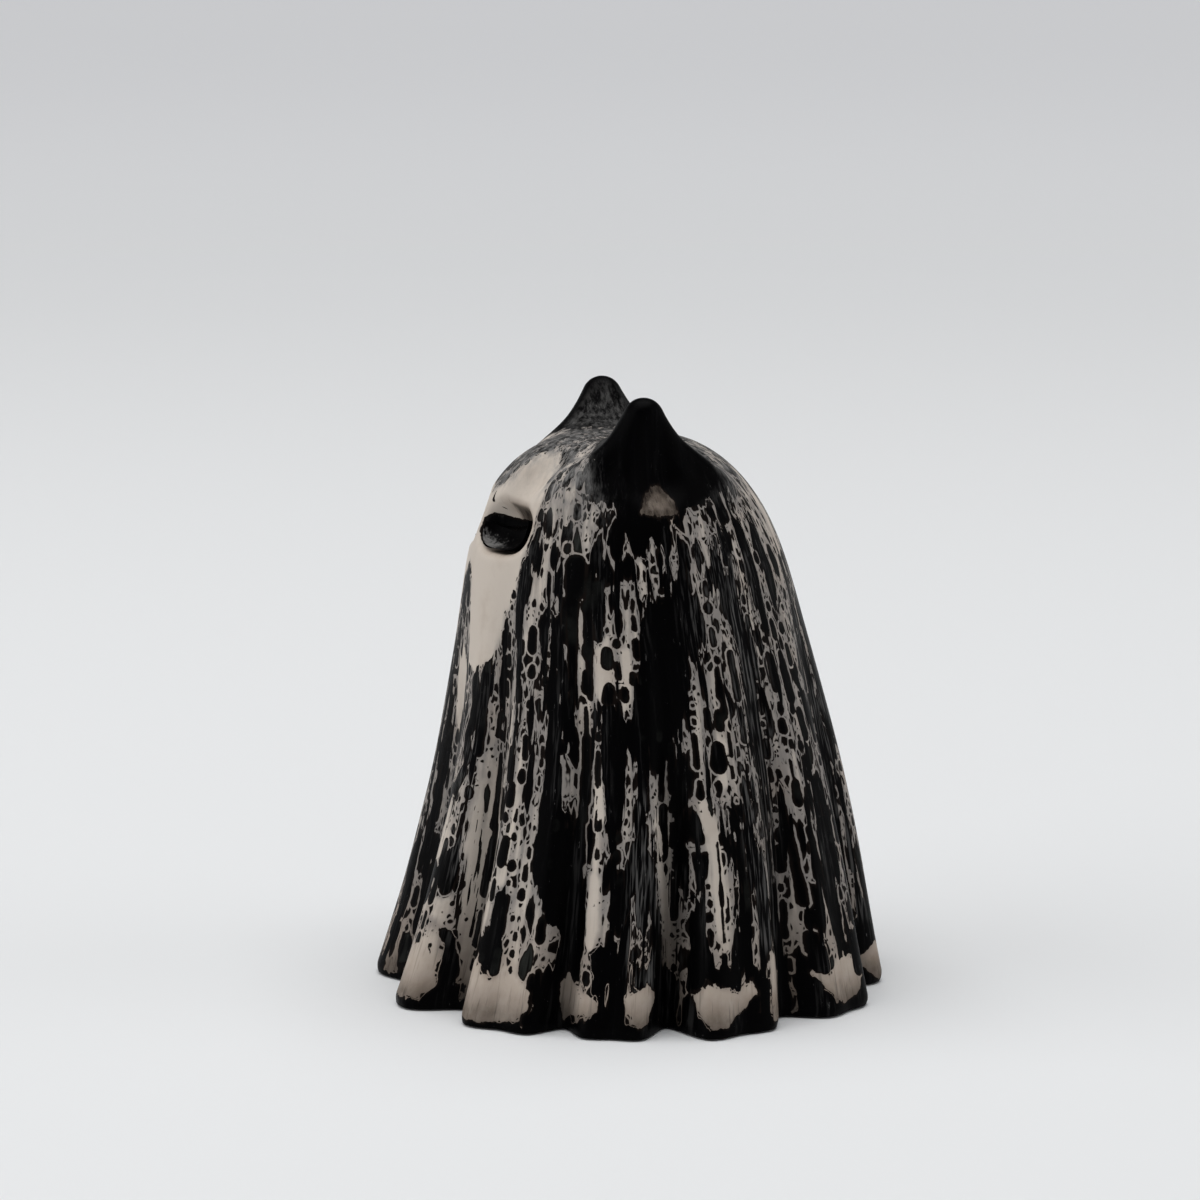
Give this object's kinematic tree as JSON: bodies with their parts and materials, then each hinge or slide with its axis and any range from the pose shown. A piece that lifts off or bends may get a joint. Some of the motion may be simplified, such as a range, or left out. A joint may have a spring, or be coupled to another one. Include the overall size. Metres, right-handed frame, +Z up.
{
  "type": "ghost cat figurine",
  "caption": "Standing cast ornament: a draped sheet over a cat, with ear peaks, lined eye sockets, folds down to a scalloped hem, and a padded foot.",
  "frame": {"origin": "centre of the foot's outline on the surface that the figure stands on", "axes": "+Z up, -Y the way the face looks, +X toward the figure's left"},
  "size_m": [0.0659, 0.0594, 0.07],
  "materials": {
    "body": "bone white cast body under poured black paint that broke into upright cells and streaks, satin",
    "eye_lining": "black enamel, satin",
    "base": "black, matt",
    "felt": "black felt"
  },
  "bodies": {
    "root": {"draped_body": "body", "left_eye": "eye_lining", "right_eye": "eye_lining", "base_plate": "base", "felt_pad": "felt"}
  },
  "joints": []
}
